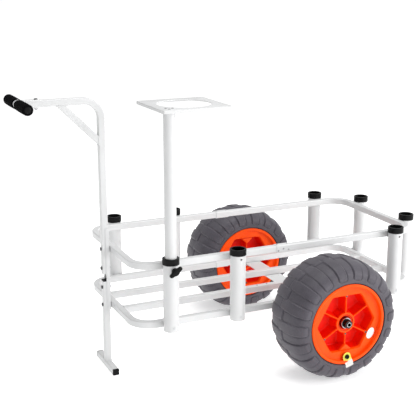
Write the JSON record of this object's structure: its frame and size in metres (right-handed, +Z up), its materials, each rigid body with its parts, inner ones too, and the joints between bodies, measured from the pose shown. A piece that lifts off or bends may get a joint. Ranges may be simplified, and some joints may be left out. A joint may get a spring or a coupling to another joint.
{
  "type": "beach cart",
  "caption": "Knock-down beach cart: square-tube basket on two balloon wheels, rod holders on its sides, T-handle, front foot and a small mast table.",
  "frame": {"origin": "centre of the overall box, on the ground", "axes": "+X to the rear, away from the handle; +Y to the right of someone who walks ahead of the cart and pulls it; +Z up"},
  "size_m": [1.4148, 0.912, 0.933],
  "materials": {
    "frame_white": "white powder coat",
    "steel": "zinc plated",
    "dark_steel": "black oxide",
    "polished_steel": "polished",
    "tyre_grey": "matt grey PVC",
    "rim_orange": "satin orange plastic",
    "plastic_black": "moulded black",
    "foam_black": "foam",
    "pad_grey": "moulded dark grey"
  },
  "bodies": {
    "frame": {"front_top_hoop": "frame_white", "rear_top_hoop": "frame_white", "front_deck_hoop": "frame_white", "rear_deck_hoop": "frame_white", "rail_sleeves": "frame_white", "splice_screws": "steel", "front_deck_bars": "frame_white", "rear_deck_bars": "frame_white", "deck_joiners": "steel", "axle_beam": "frame_white", "beam_rivets": "steel", "axle": "polished_steel", "axle_straps": "steel", "wheel_spacers": "pad_grey", "axle_washers": "plastic_black", "axle_collars": "polished_steel", "collar_screws": "steel", "mast_channel": "frame_white", "channel_pads": "pad_grey", "handle_tube": "frame_white", "handle_brace": "frame_white", "tee_bar": "frame_white", "left_grip": "foam_black", "right_grip": "foam_black", "frame_bolts": "dark_steel", "frame_nuts": "steel", "front_leg": "frame_white", "foot_bar": "frame_white", "end_plugs": "plastic_black", "holder_1": "frame_white", "holder_2": "frame_white", "holder_3": "frame_white", "holder_4": "frame_white", "holder_5": "frame_white", "holder_6": "frame_white", "holder_7": "frame_white", "holder_8": "frame_white", "holder_rings": "plastic_black", "holder_saddles": "pad_grey", "holder_screws": "steel", "clamp_collar": "plastic_black", "clamp_nut": "steel"},
    "left_wheel": {"left_tyre": "tyre_grey", "left_rim_outer": "rim_orange", "left_rim_inner": "rim_orange", "left_rim_screws": "steel", "left_bushes": "polished_steel", "left_valve": "plastic_black"},
    "right_wheel": {"right_tyre": "tyre_grey", "right_rim_outer": "rim_orange", "right_rim_inner": "rim_orange", "right_rim_screws": "steel", "right_bushes": "polished_steel", "right_valve": "plastic_black"},
    "mast_slider": {"mast_foot_plug": "plastic_black"},
    "table": {"table_mast": "frame_white", "table_plate": "frame_white", "plate_screws": "dark_steel"},
    "clamp_screw_body": {"clamp_screw": "steel"},
    "clamp_knob_body": {"clamp_knob": "plastic_black"}
  },
  "joints": [
    {"name": "left_wheel_spin", "type": "hinge", "parent": "frame", "child": "left_wheel", "pos_m": [0.24515, -0.356, 0.203], "axis": [0, 1, 0], "continuous": true},
    {"name": "right_wheel_spin", "type": "hinge", "parent": "frame", "child": "right_wheel", "pos_m": [0.24515, 0.356, 0.203], "axis": [0, 1, 0], "continuous": true},
    {"name": "mast_slide", "type": "slide", "parent": "frame", "child": "mast_slider", "axis": [0, 0, 1], "range_m": [0, 0.15]},
    {"name": "table_turn", "type": "hinge", "parent": "mast_slider", "child": "table", "pos_m": [-0.30085, -0.272, 0.5], "axis": [0, 0, 1], "range_deg": [-180, 180]},
    {"name": "clamp_screw_travel", "type": "slide", "parent": "frame", "child": "clamp_screw_body", "axis": [0, -1, 0], "range_m": [0, 0.0038]},
    {"name": "clamp_knob_turn", "type": "hinge", "parent": "clamp_screw_body", "child": "clamp_knob_body", "pos_m": [-0.30085, -0.307, 0.416], "axis": [0, -1, 0], "range_deg": [0, 1080]}
  ],
  "couplings": [
    {"joint": "clamp_screw_travel", "follows": "clamp_knob_turn", "m_per_rad": 0.00019894}
  ]
}
